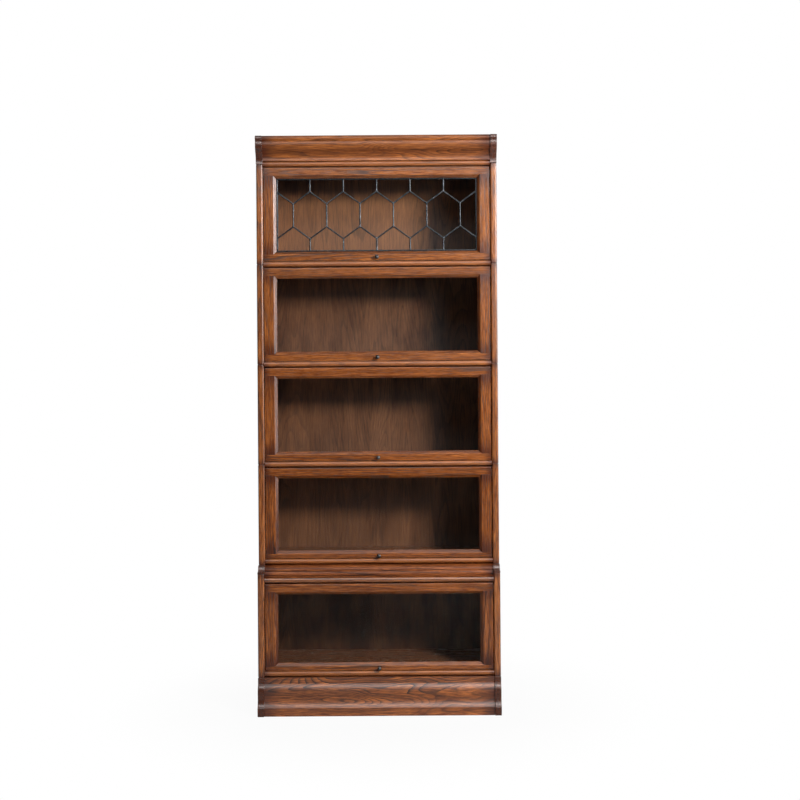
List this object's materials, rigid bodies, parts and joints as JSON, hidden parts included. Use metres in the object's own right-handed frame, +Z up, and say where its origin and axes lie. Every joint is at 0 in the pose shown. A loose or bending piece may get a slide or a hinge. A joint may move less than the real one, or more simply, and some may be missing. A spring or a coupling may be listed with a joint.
{
  "type": "barrister bookcase",
  "caption": "Stacking glazed bookcase with lift-and-slide doors, a leaded hexagon door at the top, a stepped ledge over a deeper bottom section, a moulded cornice and an ogee base.",
  "frame": {"origin": "on the floor at the centre of the footprint", "axes": "+Z up, +Y toward the back, +X to the right seen from the front"},
  "size_m": [0.87, 0.405, 2.078],
  "materials": {
    "oak": "amber-brown stained oak, satin lacquer, darker toned edges and ends",
    "oak_panel": "brown stained oak veneer, satin",
    "glass": "clear sheet glass",
    "lead_came": "dull grey lead came",
    "dark_bronze": "dark oil-rubbed bronze, glossy",
    "steel": "plain drawn steel"
  },
  "bodies": {
    "case": {"section_1_sides": "oak", "section_2_sides": "oak", "section_3_sides": "oak", "section_4_sides": "oak", "deep_section_sides": "oak", "section_1_shelf": "oak", "section_2_shelf": "oak", "section_3_shelf": "oak", "section_4_shelf": "oak", "deep_section_shelf": "oak", "bead_rails": "oak", "dust_panels": "oak_panel", "back_panels": "oak_panel", "slide_tracks": "steel", "deep_section_top": "oak", "ledge_cove": "oak", "ledge_ends": "oak", "ledge_back_rail": "oak", "base_front": "oak", "base_ends": "oak", "base_back_rail": "oak", "base_glue_blocks": "oak", "cornice_front": "oak", "cornice_ends": "oak", "cornice_lid": "oak", "cornice_back_rail": "oak", "cornice_bead_rail": "oak", "locating_tongues": "oak"},
    "carriage_1": {"carriage_1": "steel"},
    "door_1": {"door_1_rails": "oak", "door_1_stiles": "oak", "door_1_glass": "glass", "door_1_came": "lead_came", "door_1_glazing_beads": "oak", "door_1_knob": "dark_bronze"},
    "carriage_2": {"carriage_2": "steel"},
    "door_2": {"door_2_rails": "oak", "door_2_stiles": "oak", "door_2_glass": "glass", "door_2_glazing_beads": "oak", "door_2_knob": "dark_bronze"},
    "carriage_3": {"carriage_3": "steel"},
    "door_3": {"door_3_rails": "oak", "door_3_stiles": "oak", "door_3_glass": "glass", "door_3_glazing_beads": "oak", "door_3_knob": "dark_bronze"},
    "carriage_4": {"carriage_4": "steel"},
    "door_4": {"door_4_rails": "oak", "door_4_stiles": "oak", "door_4_glass": "glass", "door_4_glazing_beads": "oak", "door_4_knob": "dark_bronze"},
    "carriage_5": {"carriage_5": "steel"},
    "door_5": {"door_5_rails": "oak", "door_5_stiles": "oak", "door_5_glass": "glass", "door_5_glazing_beads": "oak", "door_5_knob": "dark_bronze"}
  },
  "joints": [
    {"name": "door_1_slide", "type": "slide", "parent": "case", "child": "carriage_1", "axis": [0, 1, 0], "range_m": [0, 0.262]},
    {"name": "door_1_lift", "type": "hinge", "parent": "carriage_1", "child": "door_1", "pos_m": [0, -0.1105, 1.9485], "axis": [-1, 0, 0], "range_deg": [0, 90]},
    {"name": "door_2_slide", "type": "slide", "parent": "case", "child": "carriage_2", "axis": [0, 1, 0], "range_m": [0, 0.262]},
    {"name": "door_2_lift", "type": "hinge", "parent": "carriage_2", "child": "door_2", "pos_m": [0, -0.1105, 1.5865], "axis": [-1, 0, 0], "range_deg": [0, 90]},
    {"name": "door_3_slide", "type": "slide", "parent": "case", "child": "carriage_3", "axis": [0, 1, 0], "range_m": [0, 0.262]},
    {"name": "door_3_lift", "type": "hinge", "parent": "carriage_3", "child": "door_3", "pos_m": [0, -0.1105, 1.2245], "axis": [-1, 0, 0], "range_deg": [0, 90]},
    {"name": "door_4_slide", "type": "slide", "parent": "case", "child": "carriage_4", "axis": [0, 1, 0], "range_m": [0, 0.262]},
    {"name": "door_4_lift", "type": "hinge", "parent": "carriage_4", "child": "door_4", "pos_m": [0, -0.1105, 0.8625], "axis": [-1, 0, 0], "range_deg": [0, 90]},
    {"name": "door_5_slide", "type": "slide", "parent": "case", "child": "carriage_5", "axis": [0, 1, 0], "range_m": [0, 0.25]},
    {"name": "door_5_lift", "type": "hinge", "parent": "carriage_5", "child": "door_5", "pos_m": [0, -0.1555, 0.4495], "axis": [-1, 0, 0], "range_deg": [0, 90]}
  ]
}
